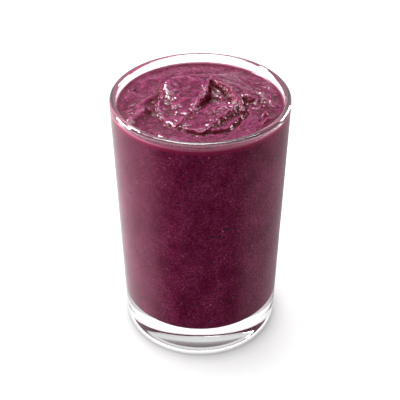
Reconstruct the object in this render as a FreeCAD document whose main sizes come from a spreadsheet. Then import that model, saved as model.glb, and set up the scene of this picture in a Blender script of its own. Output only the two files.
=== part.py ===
"""A berry smoothie in a plain tapered drinking glass.

Two sub-parts, each a solid of its own: the glass, a thick-based tumbler, and the smoothie, which
fills it almost to the rim and ends in a spooned swirl. Millimetres, +Z up. The origin is on the
axis of the glass, in the plane that it stands on.
"""
import FreeCAD
import Part
import Sketcher
import math
import os
from collections import namedtuple

# Driving sizes, in millimetres. Each goes into the spreadsheet under its own name.
SIZES = (
    ("glassHeight", 120.0, "foot to rim"),
    ("rimRadius", 39.1, "outside, at the rim"),
    ("footRadius", 36.0, "outside, where the slanted wall would meet the table"),
    ("rimWall", 2.75, "wall thickness at the rim"),
    ("floorWall", 3.0, "wall thickness at the inside floor"),
    ("floorThickness", 14.6, "solid glass under the drink"),
    ("heelRadius", 4.0, "rounding between wall and foot"),
    ("lipRadius", 1.3, "rounding of both edges of the rim"),
    ("insideCornerRadius", 4.0, "rounding between inside wall and floor"),
    ("recessRadius", 27.0, "shallow hollow under the foot"),
    ("recessDepth", 1.4, "depth of that hollow at the axis"),
    ("fillBelowRim", 4.4, "drink level below the rim"),
    ("fillClearance", 0.05, "drink to glass, all round"),
    ("swirlRadius", 19.2, "middle of the swirl to its edge"),
    ("swirlHeight", 5.4, "peak of the swirl above the level"),
    ("swirlBack", -3.5, "middle of the swirl from the axis, along Y"),
    ("wallBlend", 5.0, "flat margin of the surface along the glass"),
)

SURFACE_STEPS = 56          # spans of the swirl's surface each way
SURFACE_MARGIN = 2.0        # how far that surface runs past the drink's edge
CEILING_MARGIN = 3.0        # uncut drink left above the peak, before the swirl is cut

# A fold of the swirl has a ridge, which is an arc through three points. One side of it is a steep
# face, on the right when walking from first to last point, and the other leans away gently.
# Plan positions and widths are in swirl radii from the swirl's middle, heights in swirl heights.
Fold = namedtuple("Fold", "ridge first_height last_height lean face_width face_drop lip")
TONGUE = Fold(((-0.50, -0.87), (-0.03, 0.00), (0.26, 0.90)), 0.20, 0.97, 0.04, 0.21, 1.50, 0.07)
COLLAR = Fold(((0.26, 0.88), (0.70, 0.38), (0.91, -0.23)), 1.00, 0.62, 1.00, 0.24, 0.95, 0.05)
LOBE = Fold(((0.07, -1.07), (0.46, -0.60), (0.76, -0.20)), 0.22, 0.62, 0.05, 0.22, 0.50, 0.07)
WANDER = 0.022              # how far the folds' lines stray from their true arcs
LIP_WIDTH = 0.09            # of the small rise along a ridge
END_START = 0.03            # how far past a ridge's end its fold begins to die away
END_STOP = 0.37             # and where it is gone
END_DROP = 1.7              # how far it has dropped there
SHOULDER_WIDTH = 0.22       # over which the folds round down to the swirl's outline
TONGUE_SAG = 0.40           # slope of the tongue's left part, down to the left
LOBE_BACK_DROP = 0.6        # how far the lobe drops behind, into the hollow
HOLLOW_DEPTH = 0.40         # the darkest pit, between tongue and collar
FOLD_BLEND = 0.06           # softness of the lines where folds meet

# Swellings of the outline: direction from the middle and half width in degrees, height.
Swelling = namedtuple("Swelling", "direction half_width height")
SWELLINGS = (Swelling(124, 24, 0.29), Swelling(-70, 40, 0.07))

# Low lumps round the swirl: place, half length, half width (swirl radii), turn (degrees), height.
Lump = namedtuple("Lump", "across back length width turn height")
LUMPS = (
    Lump(-1.27, -0.20, 0.30, 0.14, 25, 0.36),
    Lump(-1.46, -0.50, 0.20, 0.12, 45, 0.30),
    Lump(-1.16, 0.33, 0.36, 0.10, 50, 0.24),
    Lump(0.98, 1.13, 0.27, 0.11, -48, 0.36),
    Lump(1.22, 0.55, 0.30, 0.11, -22, 0.36),
    Lump(1.50, 0.30, 0.22, 0.11, -60, 0.34),
    Lump(1.40, -0.30, 0.16, 0.09, 60, 0.26),
)


def fill_sheet(document):
    """Write the driving sizes into a spreadsheet: name, plain number, and what it measures."""
    sheet = document.addObject("Spreadsheet::Sheet", "Sizes")
    for row, (name, value, meaning) in enumerate(SIZES, start=1):
        sheet.set(f"A{row}", name)
        sheet.set(f"B{row}", str(value))
        sheet.set(f"C{row}", meaning)
        sheet.setAlias(f"B{row}", name)
    document.recompute()
    return sheet


# ---- lengths that follow from the sizes, as expressions ----

FLOOR_OUTER = (
    "(Sizes.footRadius + (Sizes.rimRadius - Sizes.footRadius)"
    " * Sizes.floorThickness / Sizes.glassHeight)"
)
FLOOR_INNER = f"({FLOOR_OUTER} - Sizes.floorWall)"
RIM_INNER = "(Sizes.rimRadius - Sizes.rimWall)"
INNER_SLOPE = f"(({RIM_INNER} - {FLOOR_INNER}) / (Sizes.glassHeight - Sizes.floorThickness))"
LEVEL = "(Sizes.glassHeight - Sizes.fillBelowRim)"
CEILING = f"({LEVEL} + Sizes.swirlHeight + {CEILING_MARGIN})"
FILL_FLOOR = "(Sizes.floorThickness + Sizes.fillClearance)"


def inner_radius_at(height):
    """Expression for the radius of the inside wall at a height."""
    return f"({FLOOR_INNER} + {INNER_SLOPE} * ({height} - Sizes.floorThickness))"


# ---- sketches and features ----

def upright_plane(body):
    """The body's own XZ plane, in which the profiles are drawn."""
    return next(f for f in body.Origin.OriginFeatures if f.Role == "XZ_Plane")


def axis_profile(body, name, corners):
    """Closed outline beside the axis of revolution, from its (radius, height) corner expressions.

    A corner's expression of None holds that coordinate at zero.
    """
    sketch = body.newObject("Sketcher::SketchObject", name)
    sketch.AttachmentSupport = [(upright_plane(body), "")]
    sketch.MapMode = "FlatFace"
    count = len(corners)
    rough = [FreeCAD.Vector(10.0 + 3.0 * i, 10.0 + 7.0 * (i % 3), 0) for i in range(count)]
    for i in range(count):
        sketch.addGeometry(Part.LineSegment(rough[i], rough[(i + 1) % count]), False)
    for i in range(count):
        sketch.addConstraint(Sketcher.Constraint("Coincident", i, 2, (i + 1) % count, 1))
    for i, corner in enumerate(corners):
        for kind, expression, axis in zip(("DistanceX", "DistanceY"), corner, ("R", "H")):
            if expression is None:
                other = -2 if kind == "DistanceX" else -1
                sketch.addConstraint(Sketcher.Constraint("PointOnObject", i, 1, other))
                continue
            start = rough[i].x if kind == "DistanceX" else rough[i].y
            index = sketch.addConstraint(Sketcher.Constraint(kind, -1, 1, i, 1, start))
            label = f"corner{axis}{i}"
            sketch.renameConstraint(index, label)
            sketch.setExpression(f"Constraints.{label}", expression)
    return sketch


def turn_about_axis(body, kind, name, sketch):
    """Revolve a profile a full turn, adding (Revolution) or cutting (Groove)."""
    feature = body.newObject(f"PartDesign::{kind}", name)
    feature.Profile = sketch
    feature.ReferenceAxis = (sketch, ["V_Axis"])
    feature.Angle = 360.0
    body.Document.recompute()
    return feature


def ring_edge(feature, radius, height):
    """Name of the circular edge round the Z axis that lies nearest to a radius and height."""
    def miss(edge):
        circle = edge.Curve
        return math.hypot(circle.Radius - radius, circle.Center.z - height)

    rings = [
        (miss(edge), f"Edge{number}")
        for number, edge in enumerate(feature.Shape.Edges, start=1)
        if isinstance(edge.Curve, Part.Circle)
    ]
    return min(rings)[1]


def round_rings(body, name, base, rings, radius_expression):
    """Fillet the rings of a revolved body, each given as (radius, height)."""
    fillet = body.newObject("PartDesign::Fillet", name)
    fillet.Base = (base, [ring_edge(base, radius, height) for radius, height in rings])
    fillet.setExpression("Radius", radius_expression)
    body.Document.recompute()
    return fillet


# ---- the glass ----

def add_foot_recess(body, sizes):
    """Cut the shallow domed hollow out of the underside, which leaves a flat ring to stand on."""
    sketch = body.newObject("Sketcher::SketchObject", "RecessProfile")
    sketch.AttachmentSupport = [(upright_plane(body), "")]
    sketch.MapMode = "FlatFace"
    across, deep = sizes.recessRadius, sizes.recessDepth
    arc_radius = (across ** 2 + deep ** 2) / (2.0 * deep)
    centre = FreeCAD.Vector(0, deep - arc_radius, 0)
    first_angle = math.asin((arc_radius - deep) / arc_radius)
    circle = Part.Circle(centre, FreeCAD.Vector(0, 0, 1), arc_radius)
    sketch.addGeometry(Part.ArcOfCircle(circle, first_angle, math.pi / 2.0), False)
    middle, side, top = (FreeCAD.Vector(*p, 0) for p in ((0, 0), (across, 0), (0, deep)))
    sketch.addGeometry(Part.LineSegment(top, middle), False)
    sketch.addGeometry(Part.LineSegment(middle, side), False)
    for first, last in (((0, 2), (1, 1)), ((1, 2), (2, 1)), ((2, 2), (0, 1)), ((1, 2), (-1, 1))):
        sketch.addConstraint(Sketcher.Constraint("Coincident", *first, *last))
    sketch.addConstraint(Sketcher.Constraint("PointOnObject", 0, 3, -2))
    sketch.addConstraint(Sketcher.Constraint("PointOnObject", 0, 1, -1))
    sketch.addConstraint(Sketcher.Constraint("PointOnObject", 0, 2, -2))
    for kind, geometry, point, value, name in (
        ("DistanceX", 0, 1, across, "recessRadius"),
        ("DistanceY", 0, 2, deep, "recessDepth"),
    ):
        index = sketch.addConstraint(Sketcher.Constraint(kind, -1, 1, geometry, point, value))
        sketch.renameConstraint(index, name)
        sketch.setExpression(f"Constraints.{name}", f"Sizes.{name}")
    return turn_about_axis(body, "Groove", "FootRecess", sketch)


def build_glass(document, sizes):
    """The tumbler: a solid frustum, bored out, its edges rounded and its foot hollowed."""
    body = document.addObject("PartDesign::Body", "GlassBody")
    body.Label = "glass"
    outside = axis_profile(body, "OutsideProfile", (
        (None, None),
        ("Sizes.footRadius", None),
        ("Sizes.rimRadius", "Sizes.glassHeight"),
        (None, "Sizes.glassHeight"),
    ))
    turn_about_axis(body, "Revolution", "Blank", outside)
    inside = axis_profile(body, "InsideProfile", (
        (None, "Sizes.floorThickness"),
        (FLOOR_INNER, "Sizes.floorThickness"),
        (RIM_INNER, "Sizes.glassHeight"),
        (None, "Sizes.glassHeight"),
    ))
    bore = turn_about_axis(body, "Groove", "Bore", inside)
    heel = round_rings(
        body, "Heel", bore, [(sizes.footRadius, 0.0)], "Sizes.heelRadius"
    )
    corner = round_rings(
        body, "InsideCorner", heel, [(sizes.floor_inner, sizes.floorThickness)],
        "Sizes.insideCornerRadius",
    )
    rim_rings = [
        (sizes.rimRadius, sizes.glassHeight),
        (sizes.rim_inner, sizes.glassHeight),
    ]
    round_rings(
        body, "Lip", corner, rim_rings, "min(Sizes.lipRadius; 0.48 * Sizes.rimWall)"
    )
    add_foot_recess(body, sizes)
    return body


# ---- the smoothie's surface ----

def smooth_step(low, high, value):
    """0 below low, 1 above high, and an even curve between."""
    share = min(max((value - low) / (high - low), 0.0), 1.0)
    return share * share * (3.0 - 2.0 * share)


def soft_max(first, second, softness):
    """The larger of two heights, blended where they are within the softness of each other."""
    share = min(max(0.5 + 0.5 * (first - second) / softness, 0.0), 1.0)
    return second * (1.0 - share) + first * share + softness * share * (1.0 - share)


def bell(value, middle, half_width):
    return math.exp(-((value - middle) / half_width) ** 2)


def half_turn_wrap(angle):
    """The same direction as an angle between minus and plus half a turn."""
    return (angle + math.pi) % (2.0 * math.pi) - math.pi


def beside_ridge(across, back, ridge):
    """Where a place lies beside a ridge: distance to its right, share of its way, way past an end."""
    start, middle, end = (FreeCAD.Vector(*point, 0) for point in ridge)
    circle = Part.Circle(start, middle, end)
    centre = circle.Center
    angles = [math.atan2(p.y - centre.y, p.x - centre.x) for p in (start, middle, end)]
    span = half_turn_wrap(angles[1] - angles[0]) + half_turn_wrap(angles[2] - angles[1])
    outward = math.hypot(across - centre.x, back - centre.y) - circle.Radius
    here = half_turn_wrap(math.atan2(back - centre.y, across - centre.x) - angles[0]) / span
    past = max(abs(here - 0.5) - 0.5, 0.0) * abs(span) * circle.Radius
    return math.copysign(1.0, span) * outward, min(max(here, 0.0), 1.0), past


def fold_height(across, back, fold):
    """Height of one fold, and the distance to the right of its ridge.

    The fold is highest at the ridge, steep on its right, and leans away gently on its left.
    """
    right, share, past = beside_ridge(across, back, fold.ridge)
    left = max(-right, 0.0)
    height = fold.first_height + (fold.last_height - fold.first_height) * share
    height += fold.lip * math.exp(-left / LIP_WIDTH) * (1.0 - smooth_step(0.0, 0.05, right))
    height -= fold.lean * left + fold.face_drop * smooth_step(-0.02, fold.face_width, right)
    return height - END_DROP * smooth_step(END_START, END_STOP, past), right


def poured_height(across, back):
    """The slack surface round the swirl: faint rings and low lumps."""
    height = 0.04 * math.sin(12.0 * math.hypot(across, back + 0.18))
    for lump in LUMPS:
        turn = math.radians(lump.turn)
        east, north = across - lump.across, back - lump.back
        along = (east * math.cos(turn) + north * math.sin(turn)) / lump.length
        aside = (north * math.cos(turn) - east * math.sin(turn)) / lump.width
        height += lump.height * math.exp(-along ** 2 - aside ** 2)
    return height


def swirl_outline(across, back):
    """How far inside the swirl's outline a place lies."""
    direction = math.degrees(math.atan2(back, across))
    swelling = sum(s.height * bell(direction, s.direction, s.half_width) for s in SWELLINGS)
    return 1.0 + swelling - math.hypot(across, back)


def swirl_height(across, back):
    """Surface height in swirl heights at a place in swirl radii from the swirl's middle."""
    across, back = (
        across + WANDER * math.sin(9.0 * back + 1.0),
        back + WANDER * math.sin(10.0 * across + 2.0),
    )
    inside = swirl_outline(across, back)
    shoulder = math.sqrt(1.0 - (1.0 - min(max(inside / SHOULDER_WIDTH, 0.0), 1.0)) ** 2)
    poured = poured_height(across, back)

    tongue, _ = fold_height(across, back, TONGUE)
    tongue -= TONGUE_SAG * max(-across - 0.15, 0.0) * (1.0 - smooth_step(0.18, 0.91, back))
    tongue = min(tongue, tongue * shoulder)

    collar, _ = fold_height(across, back, COLLAR)
    front_of_collar = 1.0 - smooth_step(-0.2, 0.4, back)
    collar = min(collar, collar * (1.0 - front_of_collar * (1.0 - shoulder)))

    lobe, before_lobe = fold_height(across, back, LOBE)
    lobe -= LOBE_BACK_DROP * smooth_step(-0.37, 0.29, back - 0.25 * across)
    lobe -= 0.7 * max(before_lobe - LOBE.face_width, 0.0)
    lobe = min(lobe, lobe * shoulder)

    hollow = HOLLOW_DEPTH * bell(across, 0.27, 0.13) * bell(back, 0.23, 0.17)
    floor = 0.15 + 0.6 * max(back - 0.23, 0.0) - hollow
    in_swirl = smooth_step(-0.03, 0.08, inside)

    height = poured * (1.0 - in_swirl) + floor * in_swirl
    height = soft_max(collar, height, 2.0 * FOLD_BLEND)
    within = soft_max(soft_max(lobe, height, FOLD_BLEND), tongue, FOLD_BLEND)
    beyond = soft_max(collar - 1.2 * front_of_collar, poured, 2.0 * FOLD_BLEND)
    return beyond + (within - beyond) * smooth_step(-0.06, 0.02, inside)


def surface_height(x, y, sizes):
    """Height of the smoothie's surface at a place, flat along the glass."""
    across = x / sizes.swirlRadius
    back = (y - sizes.swirlBack) / sizes.swirlRadius
    margin = sizes.level_radius - math.hypot(x, y)
    relief = swirl_height(across, back) * smooth_step(0.0, sizes.wallBlend, margin)
    return sizes.level + sizes.swirlHeight * relief


def build_swirl_space(document, sizes):
    """The empty space above the smoothie's surface, which is cut out of the fill."""
    half = sizes.level_radius + SURFACE_MARGIN
    places = [half * (2.0 * i / SURFACE_STEPS - 1.0) for i in range(SURFACE_STEPS + 1)]
    grid = [
        [FreeCAD.Vector(x, y, surface_height(x, y, sizes)) for y in places]
        for x in places
    ]
    surface = Part.BSplineSurface()
    surface.interpolate(grid)
    above = 2.0 * (sizes.swirlHeight + CEILING_MARGIN)
    space = document.addObject("Part::Feature", "SwirlSpace")
    space.Shape = Part.Face(surface).extrude(FreeCAD.Vector(0, 0, above))
    space.Placement = FreeCAD.Placement()
    return space


def build_smoothie(document, sizes):
    """The drink: a fill of the glass's inside up to a ceiling, less the space above its surface."""
    fill = document.addObject("PartDesign::Body", "Fill")
    profile = axis_profile(fill, "FillProfile", (
        (None, FILL_FLOOR),
        (f"{inner_radius_at(FILL_FLOOR)} - Sizes.fillClearance", FILL_FLOOR),
        (f"{inner_radius_at(CEILING)} - Sizes.fillClearance", CEILING),
        (None, CEILING),
    ))
    blank = turn_about_axis(fill, "Revolution", "FillBlank", profile)
    floor_ring = [(sizes.floor_inner, sizes.floorThickness)]
    round_rings(fill, "FillCorner", blank, floor_ring, "Sizes.insideCornerRadius")
    smoothie = document.addObject("Part::Cut", "Smoothie")
    smoothie.Base = fill
    smoothie.Tool = build_swirl_space(document, sizes)
    smoothie.Label = "smoothie"
    document.recompute()
    return smoothie


# ---- putting it together ----

def read_sizes(sheet):
    """The sheet's sizes, with the few lengths worked out from them that part.py's own code needs."""
    values = {name: float(getattr(sheet, name)) for name, _, _ in SIZES}
    sizes = namedtuple("Sizes", list(values) + ["floor_inner", "rim_inner", "level", "level_radius"])
    taper = (values["rimRadius"] - values["footRadius"]) / values["glassHeight"]
    floor_inner = values["footRadius"] + taper * values["floorThickness"] - values["floorWall"]
    rim_inner = values["rimRadius"] - values["rimWall"]
    level = values["glassHeight"] - values["fillBelowRim"]
    inner_slope = (rim_inner - floor_inner) / (values["glassHeight"] - values["floorThickness"])
    level_radius = rim_inner - inner_slope * values["fillBelowRim"]
    return sizes(**values, floor_inner=floor_inner, rim_inner=rim_inner, level=level,
                 level_radius=level_radius)


def check_document(document, parts):
    """Stop if anything in the document failed, or a sub-part isn't one valid solid."""
    for item in document.Objects:
        if {"Invalid", "Error"} & set(item.State):
            raise RuntimeError(f"{item.Label} failed: {item.State}")
    for part in parts:
        shape = part.Shape
        if shape.isNull() or not shape.isValid() or len(shape.Solids) != 1:
            raise RuntimeError(f"{part.Label} isn't one valid solid")


def main():
    document = FreeCAD.newDocument("BerrySmoothie")
    sizes = read_sizes(fill_sheet(document))
    parts = [build_glass(document, sizes), build_smoothie(document, sizes)]
    document.recompute()
    check_document(document, parts)
    os.makedirs("parts", exist_ok=True)
    for part in parts:
        part.Shape.exportStep(os.path.join("parts", f"{part.Label}.step"))
        box = part.Shape.BoundBox
        print(f"{part.Label}: {part.Shape.Volume / 1000.0:.1f} cm3,"
              f" x {box.XMin:.2f}..{box.XMax:.2f}, z {box.ZMin:.2f}..{box.ZMax:.2f}")


main()
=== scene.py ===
"""A berry smoothie in a plain tapered glass, on a pale floor in soft studio light."""
import math

import bpy
import numpy as np
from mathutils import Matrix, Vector


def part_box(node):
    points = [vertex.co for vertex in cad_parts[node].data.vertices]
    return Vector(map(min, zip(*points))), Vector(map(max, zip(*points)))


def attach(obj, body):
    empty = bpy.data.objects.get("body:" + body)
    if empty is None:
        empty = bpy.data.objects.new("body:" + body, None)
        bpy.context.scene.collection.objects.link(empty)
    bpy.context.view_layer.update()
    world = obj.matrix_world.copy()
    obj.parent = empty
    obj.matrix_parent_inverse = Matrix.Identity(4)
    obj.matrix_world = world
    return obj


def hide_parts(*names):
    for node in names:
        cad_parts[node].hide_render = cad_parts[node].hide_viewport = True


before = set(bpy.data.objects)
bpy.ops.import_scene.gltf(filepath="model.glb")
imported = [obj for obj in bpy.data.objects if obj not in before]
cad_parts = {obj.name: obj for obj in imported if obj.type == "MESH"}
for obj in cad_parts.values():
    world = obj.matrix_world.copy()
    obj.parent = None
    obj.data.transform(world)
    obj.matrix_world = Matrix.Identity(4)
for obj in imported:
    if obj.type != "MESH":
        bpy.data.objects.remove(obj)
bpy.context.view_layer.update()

MM = 0.001

# ---- sizes, in millimetres, as in the CAD model ----

glass_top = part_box("glass")[1] / MM
drink_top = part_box("smoothie")[1] / MM

HEIGHT = glass_top.z
RIM_RADIUS = glass_top.x
FOOT_RADIUS = 36.0
RIM_WALL = 2.75
FLOOR_WALL = 3.0
FLOOR = 14.6
HEEL_ROUND = 4.0
LIP_ROUND = 1.3
CORNER_ROUND = 4.0
RECESS_RADIUS = 27.0
RECESS_DEPTH = 1.4
FILL_BELOW_RIM = 4.4
LEVEL = HEIGHT - FILL_BELOW_RIM
INTO_WALL = 0.12            # how far the drink reaches into the glass, so that no gap shows
PEAK = drink_top.z - 0.02   # nothing of the drink stands higher, so that it stays in the CAD's box

TAPER = (RIM_RADIUS - FOOT_RADIUS) / HEIGHT
FLOOR_INNER = FOOT_RADIUS + TAPER * FLOOR - FLOOR_WALL
RIM_INNER = RIM_RADIUS - RIM_WALL
INNER_TAPER = (RIM_INNER - FLOOR_INNER) / (HEIGHT - FLOOR)


def inner_radius(height):
    """Radius of the inside wall of the glass."""
    return FLOOR_INNER + INNER_TAPER * (height - FLOOR)


# ---- small mathematical helpers ----

def smooth_step(low, high, value):
    """0 below low, 1 above high and a smooth rise between."""
    share = np.clip((value - low) / (high - low), 0.0, 1.0)
    return share * share * (3.0 - 2.0 * share)


def soft_max(first, second, softness):
    """The larger of two values, blended where they differ by less than softness."""
    share = np.clip(0.5 + 0.5 * (first - second) / softness, 0.0, 1.0)
    return second * (1.0 - share) + first * share + softness * share * (1.0 - share)


def bell(value, middle, half_width):
    """1 at the middle and falling to nothing on both sides."""
    return np.exp(-((value - middle) / half_width) ** 2)


def lattice_value(column, row, seed):
    """A repeatable value from -1 to 1 for each corner of a square lattice."""
    mixed = np.sin(column * 127.1 + row * 311.7 + seed * 74.7) * 43758.5453
    return 2.0 * (mixed - np.floor(mixed)) - 1.0


def value_noise(x, y, seed):
    """Smooth noise from -1 to 1 that changes over a distance of one."""
    column, row = np.floor(x), np.floor(y)
    across, along = x - column, y - row
    across = across * across * (3.0 - 2.0 * across)
    along = along * along * (3.0 - 2.0 * along)
    near = lattice_value(column, row, seed) * (1 - across)
    near = near + lattice_value(column + 1, row, seed) * across
    far = lattice_value(column, row + 1, seed) * (1 - across)
    far = far + lattice_value(column + 1, row + 1, seed) * across
    return near * (1 - along) + far * along


def rough_noise(x, y, size, octaves, seed, fall=0.55):
    """Noise whose largest bumps are size across, each octave half as large."""
    total, strength = 0.0, 1.0
    for octave in range(octaves):
        turn = 0.6 + 1.1 * octave
        u = (x * math.cos(turn) - y * math.sin(turn)) / size
        v = (x * math.sin(turn) + y * math.cos(turn)) / size
        total = total + strength * value_noise(u + 17.3 * octave, v - 9.1 * octave, seed + octave)
        strength *= fall
        size *= 0.5
    return total


# ---- the swirl, in swirl radii across and swirl heights up, from its middle ----

SWIRL_RADIUS = 19.2
SWIRL_HEIGHT = 5.4
SWIRL_BACK = -3.5
WALL_BLEND = 4.0            # flat margin of the surface along the glass, in millimetres

# A fold is highest at its ridge, an arc through three points. Walking from the first to the last,
# the steep face is on the right and the soft back on the left.
FOLDS = {
    "tongue": dict(ridge=((-0.50, -0.87), (-0.03, 0.00), (0.26, 0.90)), heights=(0.20, 0.97),
                   lean=0.04, face_width=0.21, face_drop=1.50, lip=0.07, lip_width=0.09),
    "collar": dict(ridge=((0.26, 0.88), (0.70, 0.38), (0.91, -0.23)), heights=(1.00, 0.62),
                   lean=1.00, face_width=0.24, face_drop=0.95, lip=0.05, lip_width=0.07),
    "lobe": dict(ridge=((0.07, -1.07), (0.46, -0.60), (0.76, -0.20)), heights=(0.22, 0.62),
                 lean=0.05, face_width=0.22, face_drop=0.50, lip=0.07, lip_width=0.07),
}

FOLD_END = (0.03, 0.37)     # how far past a ridge's end its fold starts to die away, and is gone
FOLD_END_DROP = 1.7         # how far it has dropped there
LIP_FRONT = 0.05            # over which a ridge's small lip dies away down the steep face
WANDER = 0.022              # how far the folds' lines stray from their true arcs
SMALL_WANDER = 0.012
SHOULDER_WIDTH = 0.22       # over which the folds round down to the swirl's outline

# The outline is a circle with bulges: how far each stands out, its direction and its half width,
# both in degrees. Directions are counter-clockwise from the right.
OUTLINE_BULGES = ((0.29, 124.0, 24.0), (0.07, -70.0, 40.0))

TONGUE_SAG = 0.40           # slope of the tongue's left part, down to the left
TONGUE_SAG_FROM = 0.15      # how far left of the middle it starts
TONGUE_SAG_BACK = (0.18, 0.91)      # over which it fades out towards the back
TONGUE_RIM = 0.16           # rise along the tongue's outline at the left
TONGUE_RIM_OPPOSITE = 15.0  # direction opposite that rise's middle
TONGUE_RIM_TURN = (38.0, 55.0)      # degrees to each side of it over which it fades out
TONGUE_RIM_INSIDE = (0.09, 0.05)    # how far inside the outline it is, and its half width
TONGUE_DENT = 0.20          # a shallow dent inside that rise
DENT_ACROSS = (-0.74, 0.10)         # its middle and half width
DENT_BACK = (0.05, 0.22)
COLLAR_EDGE_DROP = 1.2      # how far the collar drops outside the outline, in front
LOBE_BACK_DROP = 0.6        # how far the lobe drops behind, into the hollow
LOBE_BACK = (-0.37, 0.29)   # over which it drops, behind a line that slants back to the right
LOBE_BACK_SLANT = 0.25
LOBE_FRONT_SLOPE = 0.7      # its slope in front of its ridge
LOBE_FRONT_FROM = 0.16      # how far in front of the ridge that starts
BED_HEIGHT = 0.15           # of the swirl's bed, which rises towards the back
BED_SLOPE = 0.6
BED_SLOPE_FROM = 0.23
HOLLOW_DEPTH = 0.40         # the pit between tongue and collar
HOLLOW_ACROSS = (0.27, 0.13)        # its middle and half width
HOLLOW_BACK = (0.23, 0.17)
CREASE_DEPTH = 0.16         # the groove along the outside of the swirl's front and left
CREASE_INSIDE = (-0.01, 0.045)      # how far inside the outline it is, and its half width
CREASE_START = (-125.0, -100.0)     # directions over which it comes in
CREASE_END = (10.0, 45.0)           # and fades out
RIPPLE = 0.035              # of the poured surface round the swirl
RIPPLE_WAVES = 11.0         # in radians for each swirl radius
RIPPLE_BACK = -0.18         # where the rings' middle is

# Distances inside the outline over which the parts take over from what is outside it.
BED_EDGE = (-0.03, 0.08)
FOLD_EDGE = (-0.06, 0.02)
FRONT_TO_BACK = (-0.2, 0.4)         # over which the collar's front changes to its back

COLLAR_BLEND = 0.10         # how softly the parts are joined
FOLD_BLEND = 0.05
COLLAR_EDGE_BLEND = 0.12

# Low lumps round the swirl: across, back, half length, half width, turn in degrees, height.
LUMPS = (
    (-1.27, -0.20, 0.30, 0.14, 25, 0.42),
    (-1.46, -0.50, 0.20, 0.11, 45, 0.34),
    (-1.16, 0.33, 0.36, 0.09, 50, 0.26),
    (-0.60, -1.25, 0.40, 0.08, -22, 0.16),
    (0.98, 1.13, 0.27, 0.10, -48, 0.40),
    (0.20, 1.42, 0.50, 0.09, -5, 0.10),
    (1.22, 0.55, 0.30, 0.10, -22, 0.40),
    (1.50, 0.30, 0.22, 0.10, -60, 0.38),
    (1.38, 0.02, 0.12, 0.07, 10, 0.26),
    (1.40, -0.30, 0.15, 0.07, 60, 0.30),
    (1.45, -0.58, 0.14, 0.07, 45, 0.24),
)


def wrap(angle):
    return (angle + np.pi) % (2.0 * np.pi) - np.pi


def beside_ridge(across, back, ridge):
    """Distance to the right of a ridge, share of the way along it, and way past either end."""
    (ax, ay), (bx, by), (cx, cy) = ridge
    twice = 2.0 * (ax * (by - cy) + bx * (cy - ay) + cx * (ay - by))
    a2, b2, c2 = ax * ax + ay * ay, bx * bx + by * by, cx * cx + cy * cy
    mid_x = (a2 * (by - cy) + b2 * (cy - ay) + c2 * (ay - by)) / twice
    mid_y = (a2 * (cx - bx) + b2 * (ax - cx) + c2 * (bx - ax)) / twice
    radius = math.hypot(ax - mid_x, ay - mid_y)
    turns = [math.atan2(y - mid_y, x - mid_x) for x, y in ridge]
    span = wrap(turns[1] - turns[0]) + wrap(turns[2] - turns[1])
    share = wrap(np.arctan2(back - mid_y, across - mid_x) - turns[0]) / span
    past = np.maximum(np.abs(share - 0.5) - 0.5, 0.0) * abs(span) * radius
    right = math.copysign(1.0, span) * (np.hypot(across - mid_x, back - mid_y) - radius)
    return right, np.clip(share, 0.0, 1.0), past


def fold_height(across, back, ridge, heights, lean, face_width, face_drop, lip, lip_width):
    """Height of one fold, and the distance to the right of its ridge."""
    right, share, past = beside_ridge(across, back, ridge)
    left = np.maximum(-right, 0.0)
    height = heights[0] + (heights[1] - heights[0]) * share
    height = height + lip * np.exp(-left / lip_width) * (1.0 - smooth_step(0.0, LIP_FRONT, right))
    height = height - lean * left - face_drop * smooth_step(-0.02, face_width, right)
    return height - FOLD_END_DROP * smooth_step(*FOLD_END, past), right


def poured_height(across, back):
    """Height of the surface outside the swirl: faint rings and low lumps."""
    height = RIPPLE * np.sin(RIPPLE_WAVES * np.hypot(across, back - RIPPLE_BACK))
    for east, north, length, width, turn, rise in LUMPS:
        turn = math.radians(turn)
        along = ((across - east) * math.cos(turn) + (back - north) * math.sin(turn)) / length
        aside = ((back - north) * math.cos(turn) - (across - east) * math.sin(turn)) / width
        height = height + rise * np.exp(-along ** 2 - aside ** 2)
    return height


def strayed(across, back):
    """A place moved a little, so that the folds' lines aren't true arcs."""
    wide_across, wide_back = np.sin(9.0 * back + 1.0), np.sin(10.0 * across + 2.0)
    fine_across, fine_back = np.sin(23.0 * back + 9.0 * across), np.sin(21.0 * across - 8.0 * back)
    return (across + WANDER * wide_across + SMALL_WANDER * fine_across,
            back + WANDER * wide_back + SMALL_WANDER * fine_back)


def tongue_height(across, back, direction, inside, shoulder):
    height, _ = fold_height(across, back, **FOLDS["tongue"])
    sag = TONGUE_SAG * np.maximum(-across - TONGUE_SAG_FROM, 0.0)
    height = height - sag * (1.0 - smooth_step(*TONGUE_SAG_BACK, back))
    turn = np.abs((direction - TONGUE_RIM_OPPOSITE) % 360.0 - 180.0)
    at_left = 1.0 - smooth_step(*TONGUE_RIM_TURN, turn)
    height = height + TONGUE_RIM * at_left * bell(inside, *TONGUE_RIM_INSIDE)
    height = height - TONGUE_DENT * bell(across, *DENT_ACROSS) * bell(back, *DENT_BACK)
    return np.minimum(height, height * shoulder)


def collar_height(across, back, at_front, shoulder):
    height, _ = fold_height(across, back, **FOLDS["collar"])
    return np.minimum(height, height * (1.0 - at_front * (1.0 - shoulder)))


def lobe_height(across, back, shoulder):
    height, before = fold_height(across, back, **FOLDS["lobe"])
    behind = back - LOBE_BACK_SLANT * across
    height = height - LOBE_BACK_DROP * smooth_step(*LOBE_BACK, behind)
    height = height - LOBE_FRONT_SLOPE * np.maximum(before - LOBE_FRONT_FROM, 0.0)
    return np.minimum(height, height * shoulder)


def bed_height(across, back):
    """Height of the swirl's bed, behind and between the folds."""
    hollow = HOLLOW_DEPTH * bell(across, *HOLLOW_ACROSS) * bell(back, *HOLLOW_BACK)
    return BED_HEIGHT + BED_SLOPE * np.maximum(back - BED_SLOPE_FROM, 0.0) - hollow


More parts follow.
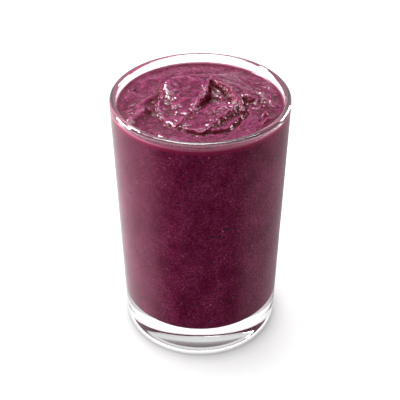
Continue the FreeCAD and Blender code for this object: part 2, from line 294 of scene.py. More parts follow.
def crease_depth(inside, direction):
    """Depth of the groove just outside the outline, from the front round to the left."""
    depth = CREASE_DEPTH * bell(inside, *CREASE_INSIDE) * smooth_step(*CREASE_START, direction)
    return depth * (1.0 - smooth_step(*CREASE_END, direction))


def swirl_height(across, back):
    """Height of the whole surface above the level, with the folds joined to what was poured."""
    across, back = strayed(across, back)
    direction = np.degrees(np.arctan2(back, across))
    outline = 1.0
    for rise, middle, half_width in OUTLINE_BULGES:
        outline = outline + rise * bell(direction, middle, half_width)
    inside = outline - np.hypot(across, back)
    shoulder = np.sqrt(1.0 - (1.0 - np.clip(inside / SHOULDER_WIDTH, 0.0, 1.0)) ** 2)
    at_front = 1.0 - smooth_step(*FRONT_TO_BACK, back)

    poured = poured_height(across, back)
    tongue = tongue_height(across, back, direction, inside, shoulder)
    collar = collar_height(across, back, at_front, shoulder)
    lobe = lobe_height(across, back, shoulder)

    in_swirl = smooth_step(*BED_EDGE, inside)
    height = poured * (1.0 - in_swirl) + bed_height(across, back) * in_swirl
    height = soft_max(collar, height, COLLAR_BLEND)
    within = soft_max(soft_max(lobe, height, FOLD_BLEND), tongue, FOLD_BLEND)
    beyond = soft_max(collar - COLLAR_EDGE_DROP * at_front, poured, COLLAR_EDGE_BLEND)
    height = beyond + (within - beyond) * smooth_step(*FOLD_EDGE, inside)
    return height - crease_depth(inside, direction)


TORN_RIDGE = (0.03, 0.13)   # how far right of a ridge its torn line is, and its half width
TORN_END = (0.0, 0.2)       # over which it fades out past the ridge's ends

# Where else the surface is torn: across, back, half width, strength.
TORN_SPOTS = (
    (-0.80, -0.05, 0.38, 1.0),
    (-0.80, 0.92, 0.22, 1.0),
    (0.42, -0.45, 0.35, 0.8),
    (1.28, 0.15, 0.30, 0.8),
    (-1.30, -0.20, 0.30, 0.8),
)


def roughness_of_folds(across, back):
    """From 0 to 1: how torn the surface is, which is most along the ridges and on the left edge."""
    torn = 0.0
    for fold in FOLDS.values():
        right, _, past = beside_ridge(across, back, fold["ridge"])
        along = 1.0 - smooth_step(*TORN_END, past)
        torn = np.maximum(torn, bell(right, *TORN_RIDGE) * along)
    for east, north, half_width, strength in TORN_SPOTS:
        reach = np.hypot(across - east, back - north)
        torn = np.maximum(torn, strength * bell(reach, 0.0, half_width))
    return torn


MENISCUS = 0.7              # how high the drink's edge clings to the glass
MENISCUS_WIDTH = 0.8
PULP_AT_GLASS = 0.25        # how much of the pulp's relief is left there

# Layers of pulp: size across, octaves, seed, height where smooth, height added where torn.
PULP = (
    (2.4, 3, 3, 0.13, 0.26),
    (6.0, 1, 21, 0.30, 0.0),
    (0.9, 2, 11, 0.04, 0.12),
)


def surface_height(x, y):
    """Height of the smoothie's surface in millimetres, with its fine pulp."""
    margin = inner_radius(LEVEL) + INTO_WALL - np.hypot(x, y)
    flat = smooth_step(0.0, WALL_BLEND, margin)
    across, back = x / SWIRL_RADIUS, (y - SWIRL_BACK) / SWIRL_RADIUS
    relief = SWIRL_HEIGHT * swirl_height(across, back)
    torn = roughness_of_folds(across, back)
    pulp = 0.0
    for size, octaves, seed, smooth, added in PULP:
        pulp = pulp + (smooth + added * torn) * rough_noise(x, y, size, octaves, seed)
    height = LEVEL + relief * flat + pulp * (PULP_AT_GLASS + (1.0 - PULP_AT_GLASS) * flat)
    height = height + MENISCUS * np.exp(-margin / MENISCUS_WIDTH)
    return np.minimum(height, PEAK)


# ---- meshes ----

def mesh_object(name, points, faces, materials, face_material=None, smooth=True):
    """A piece from points in millimetres and faces, which are tuples or rows of corner numbers."""
    mesh = bpy.data.meshes.new(name)
    mesh.from_pydata([tuple(p) for p in np.asarray(points) * MM], [], [tuple(f) for f in faces])
    for material in materials:
        mesh.materials.append(material)
    if face_material is not None:
        mesh.polygons.foreach_set("material_index", np.asarray(face_material, np.int32))
    mesh.polygons.foreach_set("use_smooth", np.full(len(mesh.polygons), smooth))
    mesh.update()
    piece = bpy.data.objects.new(name, mesh)
    bpy.context.scene.collection.objects.link(piece)
    return piece


def arc_points(centre_radius, centre_height, radius, first_degrees, last_degrees, steps):
    turns = np.radians(np.linspace(first_degrees, last_degrees, steps + 1))
    return [(centre_radius + radius * math.cos(t), centre_height + radius * math.sin(t))
            for t in turns]


def straight(first, last, steps):
    """Points between two profile points, ends left out."""
    shares = [i / steps for i in range(1, steps)]
    return [tuple(a + (b - a) * s for a, b in zip(first, last)) for s in shares]


def glass_profile():
    """Outline of the glass beside its axis, from the middle of the foot out and up, over the lip
    and down the inside to the middle of the floor."""
    lean = math.atan(TAPER)
    inner_lean = math.atan(INNER_TAPER)
    dome = (RECESS_RADIUS ** 2 + RECESS_DEPTH ** 2) / (2.0 * RECESS_DEPTH)
    reach = math.degrees(math.asin(RECESS_RADIUS / dome))
    recess = arc_points(0.0, RECESS_DEPTH - dome, dome, 90.0, 90.0 - reach, 14)
    heel_middle = (FOOT_RADIUS + TAPER * HEEL_ROUND - HEEL_ROUND / math.cos(lean), HEEL_ROUND)
    heel = arc_points(*heel_middle, HEEL_ROUND, -90.0, -math.degrees(lean), 12)
    lip_height = HEIGHT - LIP_ROUND
    outer_lip = (FOOT_RADIUS + TAPER * lip_height - LIP_ROUND / math.cos(lean), lip_height)
    inner_lip = (inner_radius(lip_height) + LIP_ROUND / math.cos(inner_lean), lip_height)
    lip = arc_points(*outer_lip, LIP_ROUND, -math.degrees(lean), 90.0, 10)
    lip += arc_points(*inner_lip, LIP_ROUND, 90.0, 180.0 - math.degrees(inner_lean), 10)
    corner_height = FLOOR + CORNER_ROUND
    corner_middle = inner_radius(corner_height) - CORNER_ROUND / math.cos(inner_lean)
    corner = arc_points(corner_middle, corner_height, CORNER_ROUND,
                        -math.degrees(inner_lean), -90.0, 10)
    wall = straight(heel[-1], lip[0], 24)
    inside = straight(lip[-1], corner[0], 24)
    floor = straight(corner[-1], (0.0, FLOOR), 8)
    foot = recess + straight(recess[-1], heel[0], 3) + heel
    return foot + wall + lip + inside + corner + floor + [(0.0, FLOOR)]


def lathe(profile, around):
    """Points and faces of a profile turned about the Z axis; its first and last point are on it."""
    turns = 2.0 * np.pi * np.arange(around) / around
    rings = np.array(profile[1:-1])
    points = [(0.0, 0.0, profile[0][1])]
    for radius, height in rings:
        points += list(zip(radius * np.cos(turns), radius * np.sin(turns), np.full(around, height)))
    points.append((0.0, 0.0, profile[-1][1]))
    faces = []
    for k in range(around):
        after = (k + 1) % around
        faces.append((0, 1 + after, 1 + k))
        for ring in range(len(rings) - 1):
            low, high = 1 + ring * around, 1 + (ring + 1) * around
            faces.append((low + k, low + after, high + after, high + k))
        last = 1 + (len(rings) - 1) * around
        faces.append((len(points) - 1, last + k, last + after))
    return points, faces


def disc_grid(count):
    """A square grid of count spans a side, bent smoothly to fill a disc of radius one."""
    line = np.linspace(-1.0, 1.0, count + 1)
    u, v = np.meshgrid(line, line, indexing="ij")
    return u * np.sqrt(1.0 - v * v / 2.0), v * np.sqrt(1.0 - u * u / 2.0)


def grid_rim(count):
    """Numbers of a grid's border points, once round, counter-clockwise."""
    number = np.arange((count + 1) ** 2).reshape(count + 1, count + 1)
    return np.concatenate([number[:-1, 0], number[-1, :-1], number[:0:-1, -1], number[0, :0:-1]])


def drink_side():
    """Radius and height of the rings down the drink's side and under it, below the top edge, and
    how many of them end the side, which stands against the glass."""
    reach = INTO_WALL
    corner_height = FLOOR + CORNER_ROUND
    middle = inner_radius(corner_height) - CORNER_ROUND
    low_floor = FLOOR - reach
    side = [(inner_radius(z) + reach, z) for z in np.linspace(LEVEL - 0.6, corner_height, 14)]
    corner = arc_points(middle, corner_height, CORNER_ROUND + reach, 0.0, -90.0, 8)[1:]
    floor = [(middle * share, low_floor) for share in (0.85, 0.6, 0.35, 0.12)]
    return side + corner + floor, len(side) + 4


CREST_REACH = 6             # steps of the drink's grid to each side of a crest's neighbourhood
CREST_HEIGHT = 0.45         # a rise above it that counts as a full crest


def crests(heights):
    """How far each point of a grid stands above the mean of its neighbourhood, from -1 in a crease
    to 1 on a crest."""
    total = np.zeros_like(heights)
    line = range(-CREST_REACH, CREST_REACH + 1, 2)
    steps = [(i, j) for i in line for j in line]
    padded = np.pad(heights, CREST_REACH, mode="edge")
    for i, j in steps:
        first, second = CREST_REACH + i, CREST_REACH + j
        total += padded[first:first + len(heights), second:second + len(heights)]
    return np.clip((heights - total / len(steps)) / CREST_HEIGHT, -1.0, 1.0)


TOP_SPANS = 250             # spans of the drink's surface each way


def drink_top_grid():
    """Points and faces of the drink's open surface."""
    across, back = disc_grid(TOP_SPANS)
    edge_radius = inner_radius(LEVEL) + INTO_WALL
    x, y = (edge_radius * across).ravel(), (edge_radius * back).ravel()
    number = np.arange(len(x)).reshape(TOP_SPANS + 1, TOP_SPANS + 1)
    faces = np.column_stack([number[:-1, :-1].ravel(), number[1:, :-1].ravel(),
                             number[1:, 1:].ravel(), number[:-1, 1:].ravel()])
    return np.column_stack([x, y, surface_height(x, y)]), faces


AGAINST_GLASS, OPEN_SURFACE, UNDERSIDE = range(3)       # the drink's materials, by number


def smoothie_piece(contact, surface, underside):
    """The drink: a fine relief on top, and below it the plain side and floor against the glass."""
    top, top_faces = drink_top_grid()
    rim = grid_rim(TOP_SPANS)
    turns = np.arctan2(top[rim, 1], top[rim, 0])
    points, faces = [top], [tuple(f) for f in top_faces]
    above, start = rim, len(top)
    rings, side_rings = drink_side()
    for radius, height in rings:
        points.append(np.column_stack([radius * np.cos(turns), radius * np.sin(turns),
                                       np.full(len(turns), height)]))
        below = start + np.arange(len(turns))
        faces += list(zip(below, np.roll(below, -1), np.roll(above, -1), above))
        above, start = below, start + len(turns)
    faces.append(tuple(reversed(above)))
    side_faces = side_rings * len(turns)
    kinds = [OPEN_SURFACE] * len(top_faces) + [AGAINST_GLASS] * side_faces
    kinds += [UNDERSIDE] * (len(faces) - len(kinds))
    points = np.concatenate(points)
    piece = mesh_object("berry_smoothie", points, faces, [contact, surface, underside], kinds)
    torn = roughness_of_folds(points[:, 0] / SWIRL_RADIUS, (points[:, 1] - SWIRL_BACK) / SWIRL_RADIUS)
    piece.data.attributes.new("torn", "FLOAT", "POINT").data.foreach_set("value", torn)
    # These crest values drive painted shade in creases and painted light on crests.
    crest = np.zeros(len(points))
    crest[:len(top)] = crests(top[:, 2].reshape(TOP_SPANS + 1, TOP_SPANS + 1)).ravel()
    piece.data.attributes.new("crest", "FLOAT", "POINT").data.foreach_set("value", crest)
    return piece


FLECK_CORNERS = 9


def fleck(rng, size, thickness):
    """A closed, slightly domed flake with a ragged outline, lying flat at the origin."""
    corners = FLECK_CORNERS
    turns = 2.0 * np.pi * (np.arange(corners) + rng.uniform(-0.25, 0.25, corners)) / corners
    reach = 0.5 * size * rng.uniform(0.65, 1.15, corners)
    stretch = rng.uniform(0.55, 1.0)
    x, y = reach * np.cos(turns), stretch * reach * np.sin(turns)
    rim = np.column_stack([x, y, np.zeros(corners)])
    shoulder = np.column_stack([0.6 * x, 0.6 * y, np.full(corners, 0.8 * thickness)])
    points = np.concatenate([[(0.0, 0.0, -0.5 * thickness)], rim, shoulder,
                             [(0.0, 0.0, thickness)]])
    faces = []
    for k in range(corners):
        after = (k + 1) % corners
        faces += [(0, 1 + after, 1 + k), (1 + k, 1 + after, 1 + corners + after, 1 + corners + k),
                  (1 + corners + k, 1 + corners + after, 2 * corners + 1)]
    return points, faces


def facing(normal, turn):
    """Three unit vectors, the last along normal, turned about it."""
    guide = np.array([0.0, 0.0, 1.0]) if abs(normal[2]) < 0.9 else np.array([1.0, 0.0, 0.0])
    first = np.cross(guide, normal)
    first = first / np.linalg.norm(first)
    second = np.cross(normal, first)
    return np.array([first * math.cos(turn) + second * math.sin(turn),
                     second * math.cos(turn) - first * math.sin(turn), normal])


def spot_on_side(rng):
    """A place on the drink's side and the direction straight out of it."""
    height = rng.uniform(FLOOR + CORNER_ROUND, LEVEL - 1.0)
    turn = rng.uniform(0.0, 2.0 * math.pi)
    radius = inner_radius(height) + INTO_WALL
    outward = np.array([math.cos(turn), math.sin(turn), 0.0])
    return np.array([radius * outward[0], radius * outward[1], height]), outward


def spot_on_top(rng):
    """A place on the drink's open surface and the direction straight out of it."""
    reach = (inner_radius(LEVEL) - 1.5) * math.sqrt(rng.uniform())
    turn = rng.uniform(0.0, 2.0 * math.pi)
    x, y, step = reach * math.cos(turn), reach * math.sin(turn), 0.15
    heights = surface_height(np.array([x, x + step, x]), np.array([y, y, y + step]))
    slope = np.array([heights[0] - heights[1], heights[0] - heights[2], step])
    return np.array([x, y, heights[0]]), slope / np.linalg.norm(slope)


def scattered(name, seed, on_side, on_top, sizes, thickness, material):
    """One mesh of many flecks: on_side of them under the glass and on_top on the open surface."""
    rng = np.random.default_rng(seed)
    points, faces, start = [], [], 0
    for number in range(on_side + on_top):
        place, normal = spot_on_side(rng) if number < on_side else spot_on_top(rng)
        size = sizes[0] + (sizes[1] - sizes[0]) * rng.uniform() ** 2.5
        shape, shape_faces = fleck(rng, size, thickness)
        shape = place + shape @ facing(normal, rng.uniform(0.0, 2.0 * math.pi))
        shape[:, 2] = np.minimum(shape[:, 2], PEAK)
        points.append(shape)
        faces += [tuple(start + k for k in face) for face in shape_faces]
        start += len(shape)
    return mesh_object(name, np.concatenate(points), faces, [material])


# ---- materials ----

def link(output, socket):
    socket.id_data.links.new(output, socket)


def new_material(name):
    """A material with an empty node tree, and a function to add nodes to it."""
    material = bpy.data.materials.new(name)
    material.use_nodes = True
    tree = material.node_tree
    tree.nodes.clear()

    def add(kind, settings=None, **sockets):
        node = tree.nodes.new("ShaderNode" + kind)
        for key, value in (settings or {}).items():
            setattr(node, key, value)
        for key, value in sockets.items():
            socket = node.inputs[key.replace("_", " ")]
            if isinstance(value, bpy.types.NodeSocket):
                link(value, socket)
            else:
                socket.default_value = value
        return node

    return material, add


def finished(material, add, shader):
    """The material, with a shader's output as its surface."""
    add("OutputMaterial", Surface=shader)
    return material


def ramp(add, factor, stops):
    """A colour ramp of (position, colour) stops, driven by a factor."""
    node = add("ValToRGB")
    node.color_ramp.elements.remove(node.color_ramp.elements[1])
    for index, (position, colour) in enumerate(stops):
        if index:
            element = node.color_ramp.elements.new(position)
        else:
            element = node.color_ramp.elements[0]
            element.position = position
        element.color = (*colour, 1.0)
    link(factor, node.inputs["Fac"])
    return node.outputs["Color"]


def noise(add, place, scale, detail, roughness=0.55, distortion=0.0):
    return add("TexNoise", Vector=place, Scale=scale, Detail=detail, Roughness=roughness,
               Distortion=distortion).outputs["Fac"]


def times(add, first, second):
    """Two colours multiplied."""
    product = add("Mix", {"data_type": "RGBA", "blend_type": "MULTIPLY"})
    product.inputs[0].default_value = 1.0
    link(first, product.inputs[6])
    link(second, product.inputs[7])
    return product.outputs[2]


def blended(add, share, first, second):
    """First colour where share is 0, second where it is 1. Either is a socket or a colour."""
    mixed = add("Mix", {"data_type": "RGBA"})
    link(share, mixed.inputs[0])
    for socket, value in ((mixed.inputs[6], first), (mixed.inputs[7], second)):
        if isinstance(value, bpy.types.NodeSocket):
            link(value, socket)
        else:
            socket.default_value = (*value, 1.0)
    return mixed.outputs[2]


def mixed_shader(add, share, first, second):
    """First shader where share is 0, second where it is 1."""
    mixed = add("MixShader", Fac=share)
    link(first, mixed.inputs[1])
    link(second, mixed.inputs[2])
    return mixed.outputs["Shader"]


def vector_math(add, operation, first, second=None):
    """A vector worked out from a socket and, where needed, a second vector."""
    node = add("VectorMath", {"operation": operation})
    link(first, node.inputs[0])
    if second is not None:
        node.inputs[1].default_value = second
    return node


def share_between(add, value, low, high):
    """0 where value is at low and 1 where it is at high, smooth between."""
    span = add("MapRange", {"interpolation_type": "SMOOTHSTEP"}, Value=value)
    span.inputs["From Min"].default_value = low
    span.inputs["From Max"].default_value = high
    return span.outputs["Result"]


def matt(add, colour, roughness):
    """A surface without gloss."""
    return add("BsdfPrincipled", Base_Color=colour, Roughness=roughness,
               Specular_IOR_Level=0.0).outputs["BSDF"]


GLASS_TINT = (0.985, 0.995, 0.99, 1.0)


def clear_glass(name, head_on, coat):
    """Clear glass. head_on is how much of glass's usual mirroring it shows seen straight on, and
    coat the weight of a bright clear coat."""
    material, add = new_material(name)
    place = add("TexCoord").outputs["Object"]
    bump = add("Bump", Strength=0.02, Distance=0.002, Height=noise(add, place, 35.0, 1.0))
    shader = add("BsdfPrincipled", Base_Color=GLASS_TINT, Roughness=0.0, IOR=1.52,
                 Transmission_Weight=1.0, Specular_Tint=(head_on, head_on, head_on, 1.0),
                 Coat_Weight=coat, Coat_Roughness=0.03, Coat_IOR=2.1,
                 Normal=bump.outputs["Normal"])
    return finished(material, add, shader.outputs["BSDF"])


# The first colour is painted shade, the darker and redder colour of steep faces.
PAINTED_SHADE_BERRY = (0.080, 0.001, 0.012)
BERRY = (0.082, 0.0042, 0.025)
PALE_BERRY = (0.115, 0.009, 0.040)
SIDE_DEEP = (0.069, 0.0031, 0.019)
SIDE_BERRY = (0.110, 0.0100, 0.036)
# The next two are painted glow where light shines through the drink's thin edge: red under it, pale
# pink at it.
RED_GLOW_BAND = (0.155, 0.009, 0.036)
FILM_GLOW_BERRY = (0.28, 0.07, 0.13)
SKIN_DARK, SKIN_PALE = (0.003, 0.002, 0.008), (0.016, 0.005, 0.020)
SEED_DARK, SEED_PALE = (0.40, 0.10, 0.14), (0.75, 0.35, 0.30)
FILM_GLOW_WIDTH = 0.9            # of the painted pale glow along the drink's thin edge at the glass
STEEP_TO_LEVEL = (0.70, 0.965)      # upward part of the normal, between the painted shade of steep faces and the level colour
BAND_HEIGHTS = (-2.4, -0.8)         # over which the painted red glow under the drink's edge comes in
LINE_HEIGHTS = (-0.5, 0.3)          # and the painted pink glow line above it, from the level


def berry_grain(add, place):
    """Fine paler and darker grain, as a colour to multiply by."""
    coarse = ramp(add, noise(add, place, 1100.0, 3.0, 0.7),
                  ((0.36, (0.60, 0.55, 0.60)), (0.5, (1.0, 1.0, 1.0)), (0.64, (1.45, 2.3, 1.8))))
    fine = ramp(add, noise(add, place, 2600.0, 2.0, 0.6),
                ((0.38, (0.72, 0.65, 0.68)), (0.62, (1.3, 1.6, 1.45))))
    return times(add, coarse, fine)


def distance_from_axis(add, place):
    flat = vector_math(add, "MULTIPLY", place, (1.0, 1.0, 0.0))
    return vector_math(add, "LENGTH", flat.outputs["Vector"]).outputs["Value"]


def painted_crease_shade_and_crest_light(add):
    """Painted shade in creases, darker and redder, and painted light on crests, paler, as a colour to
    multiply by.
    """
    crest = add("Attribute", {"attribute_name": "crest"}).outputs["Fac"]
    height = add("MapRange", Value=crest)
    height.inputs["From Min"].default_value = -1.0
    return ramp(add, height.outputs["Result"],
                ((0.0, (0.62, 0.16, 0.28)), (0.40, (0.70, 0.42, 0.52)), (0.5, (0.95, 0.92, 0.93)),
                 (0.60, (1.28, 1.55, 1.42)), (1.0, (1.5, 2.0, 1.8))))


def surface_colour(add, place, normal):
    """Painted shade where it is steep, darker and redder; painted shade in creases and painted light
    on crests; and a painted pale glow at the glass, where light shines through the drink's thin edge.
    """
    up = add("SeparateXYZ", Vector=normal).outputs["Z"]
    level = ramp(add, noise(add, place, 160.0, 3.0, 0.6), ((0.35, BERRY), (0.65, PALE_BERRY)))
    # Painted shade: steep faces take the darker, redder colour.
    colour = blended(add, share_between(add, up, *STEEP_TO_LEVEL), PAINTED_SHADE_BERRY, level)
    colour = times(add, colour, berry_grain(add, place))
    # Painted shade in creases and painted light on crests.
    colour = times(add, colour, painted_crease_shade_and_crest_light(add))
    # Painted glow: paler where the drink's edge thins at the glass and light shines through it.
    edge = inner_radius(LEVEL) + INTO_WALL
    film_glow = share_between(add, distance_from_axis(add, place),
                         (edge - FILM_GLOW_WIDTH) * MM, (edge + 0.2) * MM)
    return blended(add, film_glow, colour, FILM_GLOW_BERRY)


def drink_surface():
    """The wet open surface of the smoothie, rougher where it is torn."""
    material, add = new_material("smoothie_surface")
    coordinates = add("TexCoord")
    place = coordinates.outputs["Object"]
    colour = surface_colour(add, place, coordinates.outputs["Normal"])
    torn = add("Attribute", {"attribute_name": "torn"}).outputs["Fac"]
    depth = add("MapRange", Value=torn, To_Min=0.00010, To_Max=0.0006)
    bump = add("Bump", Strength=1.0, Distance=depth.outputs["Result"],
               Height=noise(add, place, 800.0, 1.5, 0.5))
    gloss = add("MapRange", Value=noise(add, place, 500.0, 2.0), To_Min=0.05, To_Max=0.16)
    shader = add("BsdfPrincipled", Base_Color=colour, Roughness=gloss.outputs["Result"], IOR=1.35,
                 Normal=bump.outputs["Normal"])
    return finished(material, add, shader.outputs["BSDF"])


def side_colour(add, place):
    """The smoothie seen through the glass: mottled, with a painted glow at the top, a red band and a
    pink line where light shines through the drink's edge.
    """
    broad = noise(add, place, 90.0, 4.0, 0.6)
    colour = ramp(add, broad, ((0.35, SIDE_DEEP), (0.65, SIDE_BERRY)))
    colour = times(add, colour, berry_grain(add, place))
    height = add("SeparateXYZ", Vector=place).outputs["Z"]
    # Painted glow at the top of the side: a red band and a pink line.
    for span, layer in ((BAND_HEIGHTS, RED_GLOW_BAND), (LINE_HEIGHTS, FILM_GLOW_BERRY)):
        low, high = ((LEVEL + above) * MM for above in span)
        colour = blended(add, share_between(add, height, low, high), colour, layer)
    return colour


def drink_against_glass():
    """The smoothie where its side touches the glass, with no gloss of its own."""
    material, add = new_material("smoothie_against_glass")
    place = add("TexCoord").outputs["Object"]
    return finished(material, add, matt(add, side_colour(add, place), 0.6))


def drink_underside():
    """The smoothie's underside. Seen at a shallow angle through the thick foot it mirrors, because
    glass bends light more than the drink does."""
    material, add = new_material("smoothie_underside")
    place = add("TexCoord").outputs["Object"]
    dull = matt(add, side_colour(add, place), 0.6)
    mirror = add("BsdfGlossy", Color=(1.0, 1.0, 1.0, 1.0), Roughness=0.04)
    share = add("Fresnel", IOR=0.814)
    shader = mixed_shader(add, share.outputs["Fac"], dull, mirror.outputs["BSDF"])
    return finished(material, add, shader)


def fleck_material(name, dark, pale, roughness):
    material, add = new_material(name)
    place = add("TexCoord").outputs["Object"]
    colour = ramp(add, noise(add, place, 700.0, 2.0), ((0.35, dark), (0.65, pale)))
    shader = add("BsdfPrincipled", Base_Color=colour, Roughness=roughness,
                 Specular_IOR_Level=0.1)
    return finished(material, add, shader.outputs["BSDF"])


# Shade of the floor round the foot and glow under it, over the distances from the axis in
# CONTACT_SPAN, in metres. The glow stands in for the light that the glass gathers there.
CONTACT_SPAN = (0.034, 0.046)
CONTACT_SHADE = (
    (0.0, (1.0, 1.0, 1.0)),
    (0.12, (0.60, 0.60, 0.61)),
    (0.22, (0.82, 0.82, 0.83)),
    (0.45, (0.95, 0.95, 0.95)),
    (0.7, (1.0, 1.0, 1.0)),
)
GLOW_SHADE = ((0.0, (1.0, 1.0, 1.0)), (0.10, (0.0, 0.0, 0.0)))
GLOW = 0.25


def pale_floor():
    material, add = new_material("pale_floor")
    place = add("TexCoord").outputs["Object"]
    colour = ramp(add, noise(add, place, 9.0, 3.0),
                  ((0.3, (0.89, 0.89, 0.89)), (0.7, (0.91, 0.91, 0.91))))
    reach = vector_math(add, "LENGTH", place).outputs["Value"]
    scaled = add("MapRange", Value=reach)
    scaled.inputs["From Min"].default_value = CONTACT_SPAN[0]
    scaled.inputs["From Max"].default_value = CONTACT_SPAN[1]
    contact = ramp(add, scaled.outputs["Result"], CONTACT_SHADE)
    gathered = ramp(add, scaled.outputs["Result"], GLOW_SHADE)
    shader = add("BsdfPrincipled", Base_Color=times(add, colour, contact), Roughness=0.8,
                 Specular_IOR_Level=0.0, Emission_Color=gathered, Emission_Strength=GLOW)
    material.cycles.emission_sampling = "NONE"
    return finished(material, add, shader.outputs["BSDF"])


# ---- camera and light ----

CAMERA_BACK = 3.0268 * HEIGHT       # how far in front of the glass's axis
CAMERA_HEIGHT = 2.7612 * HEIGHT
CAMERA_SIDE = -0.15                 # off the axis, in millimetres
CAMERA_PITCH = 36.33                # degrees below the horizon
LENS = 88.06                        # for a sensor of SENSOR_WIDTH
SENSOR_WIDTH = 36.0


def add_camera():
    lens = bpy.data.cameras.new("camera")
    lens.lens = LENS
    lens.sensor_width = SENSOR_WIDTH
    lens.clip_start, lens.clip_end = 0.01, 20.0
    camera = bpy.data.objects.new("camera", lens)
    camera.location = (CAMERA_SIDE * MM, -CAMERA_BACK * MM, CAMERA_HEIGHT * MM)
    camera.rotation_euler = (math.radians(90.0 - CAMERA_PITCH), 0.0, 0.0)
    bpy.context.scene.collection.objects.link(camera)
    bpy.context.scene.camera = camera


LAMP_TARGET = (0.0, 0.0, 0.06)      # the middle of the glass, in metres


def add_softbox(name, place, size, power, lit_only=None):
    """A rectangular lamp aimed at the object, in metres and watts. It lights only the things in
    the collection lit_only, if one is given."""
    lamp = bpy.data.lights.new(name, "AREA")
    lamp.shape = "RECTANGLE"
    lamp.size, lamp.size_y = size
    lamp.energy = power
    softbox = bpy.data.objects.new(name, lamp)
    softbox.location = place
    toward = Vector(LAMP_TARGET) - Vector(place)
    softbox.rotation_euler = toward.to_track_quat("-Z", "Y").to_euler()
    softbox.light_linking.receiver_collection = lit_only
    bpy.context.scene.collection.objects.link(softbox)


BRIGHT_SIDE = (-0.45, 0.65, 0.61)   # direction from which the studio is brightest
DARKEST, BRIGHTEST = 0.38, 0.75     # strength of the studio's walls, away from it and towards it


def add_studio_walls():
    """A white surround that is brighter on one side."""
    world = bpy.data.worlds.new("studio")
    bpy.context.scene.world = world
    world.use_nodes = True
    nodes = world.node_tree.nodes
    sky = nodes["Background"]
    place = nodes.new("ShaderNodeTexCoord")
    toward = nodes.new("ShaderNodeVectorMath")
    toward.operation = "DOT_PRODUCT"
    toward.inputs[1].default_value = BRIGHT_SIDE
    shade = nodes.new("ShaderNodeMapRange")
    shade.interpolation_type = "SMOOTHSTEP"
    shade.inputs["From Min"].default_value = -0.5
    shade.inputs["From Max"].default_value = 0.9
    shade.inputs["To Min"].default_value = DARKEST
    shade.inputs["To Max"].default_value = BRIGHTEST
    link(place.outputs["Generated"], toward.inputs[0])
    link(toward.outputs["Value"], shade.inputs["Value"])
    link(shade.outputs["Result"], sky.inputs["Strength"])
    sky.inputs["Color"].default_value = (1.0, 1.0, 1.0, 1.0)


def lit_group(name, things):
    """A collection of the only things that a lamp is to light."""
    group = bpy.data.collections.new(name)
    for thing in things:
        group.objects.link(thing)
    return group


def add_lamps(pieces, floor):
    on_object = lit_group("lit_by_small_lamps", pieces)
    on_floor = lit_group("lit_by_floor_lamp", (floor,))
    add_softbox("overhead", (-0.10, 0.10, 0.95), (0.50, 0.50), 4.2)
    add_softbox("strip", (0.00, 0.12, 0.95), (1.30, 0.16), 3.6, on_object)
    add_softbox("key", (-0.50, 0.42, 0.90), (0.14, 0.14), 12.0, on_object)
    add_softbox("left", (-1.00, 0.20, 0.18), (0.50, 0.50), 27.0, on_object)
    add_softbox("right", (0.90, 0.55, 0.20), (0.50, 0.50), 13.0, on_object)
    add_softbox("floor_lamp", (-0.20, 0.30, 1.60), (1.60, 1.60), 23.0, on_floor)


CARD_REACH = (37.5, 450.0)          # inner and outer radius of the black flag, in millimetres
CARD_HEIGHT = 1.0
CARD_SPANS = 96
FAN_FROM = 0.021                    # how far in front of the axis its fan starts, in metres
FAN_EDGES = (-0.85, -0.20)          # heading along Y where it ends being black, and is white
FADE_REACH = (0.20, 0.45)           # distances over which it becomes clear
RIGHT_SHARE = 0.42                  # how bright its white is on the right


def flag_material():
    """Black in a fan towards the front, glowing white at both sides of it, and clear far out."""
    material, add = new_material("black_flag")
    place = add("TexCoord").outputs["Object"]
    from_fan = vector_math(add, "ADD", place, (0.0, FAN_FROM, 0.0)).outputs["Vector"]
    ray = vector_math(add, "NORMALIZE", from_fan).outputs["Vector"]
    reach = vector_math(add, "LENGTH", from_fan).outputs["Value"]
    heading = add("SeparateXYZ", Vector=ray)
    beside = share_between(add, heading.outputs["Y"], *FAN_EDGES)
    far = share_between(add, reach, *FADE_REACH)
    right = share_between(add, heading.outputs["X"], -0.10, 0.10)
    brightness = blended(add, right, (1.0, 1.0, 1.0), (RIGHT_SHARE, RIGHT_SHARE, RIGHT_SHARE))
    black = matt(add, (0.01, 0.01, 0.01, 1.0), 0.9)
    white = add("Emission", Color=brightness)
    card = mixed_shader(add, beside, black, white.outputs["Emission"])
    clear = add("BsdfTransparent")
    material.cycles.emission_sampling = "NONE"
    return finished(material, add, mixed_shader(add, far, card, clear.outputs["BSDF"]))


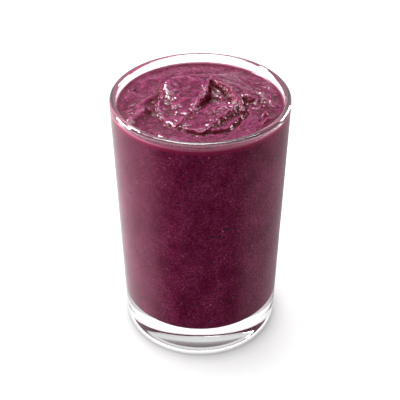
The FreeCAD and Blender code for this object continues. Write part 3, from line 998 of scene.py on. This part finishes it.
def add_black_flag():
    """A soft-edged card round the glass's foot, black in front, which only mirroring surfaces see:
    it keeps the white floor out of the glass's front, so that the drink shows through it dark."""
    turns = 2.0 * np.pi * np.arange(CARD_SPANS) / CARD_SPANS
    points = [(r * math.cos(t), r * math.sin(t), CARD_HEIGHT) for r in CARD_REACH for t in turns]
    faces = []
    for k in range(CARD_SPANS):
        after = (k + 1) % CARD_SPANS
        faces.append((k, CARD_SPANS + k, CARD_SPANS + after, after))
    flag = mesh_object("black_flag", points, faces, [flag_material()], smooth=False)
    flag.visible_camera = False
    flag.visible_diffuse = False
    flag.visible_transmission = False
    flag.visible_shadow = False


FLOOR_REACH = 900.0                 # half the floor's width, in millimetres
FLOOR_DROP = 0.05                   # how far it lies under the foot


def add_floor():
    corners = ((-1, -1), (1, -1), (1, 1), (-1, 1))
    points = [(FLOOR_REACH * x, FLOOR_REACH * y, 0.0) for x, y in corners]
    floor = mesh_object("floor", points, [(0, 1, 2, 3)], [pale_floor()], smooth=False)
    floor.location.z = -FLOOR_DROP * MM
    return floor


# ---- putting it together ----

lip_bottom = HEIGHT - 2.0 * LIP_ROUND
glass_points, glass_faces = lathe(glass_profile(), around=256)
on_rim = [min(glass_points[k][2] for k in face) > lip_bottom for face in glass_faces]
glass_materials = [clear_glass("clear_glass", head_on=0.3, coat=0.0),
                   clear_glass("clear_rim", head_on=1.0, coat=0.7)]
glass = mesh_object("glass_tumbler", glass_points, glass_faces, glass_materials, on_rim)
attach(glass, "root")
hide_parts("glass")
# Light reaches the drink straight through the glass, so that its grain stays crisp.
glass.visible_shadow = False
glass.visible_diffuse = False

smoothie = smoothie_piece(drink_against_glass(), drink_surface(), drink_underside())
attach(smoothie, "root")
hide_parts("smoothie")

skin_material = fleck_material("berry_skin", SKIN_DARK, SKIN_PALE, roughness=0.35)
seed_material = fleck_material("berry_seed", SEED_DARK, SEED_PALE, roughness=0.4)
skins = scattered("berry_skins", seed=5, on_side=760, on_top=240, sizes=(0.45, 1.90),
                  thickness=0.05, material=skin_material)
seeds = scattered("berry_seeds", seed=8, on_side=600, on_top=90, sizes=(0.18, 0.42),
                  thickness=0.09, material=seed_material)
for piece in (skins, seeds):
    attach(piece, "root")

floor = add_floor()
add_black_flag()
add_camera()
add_studio_walls()
add_lamps((glass, smoothie, skins, seeds), floor)
bpy.context.scene.view_settings.view_transform = "Standard"
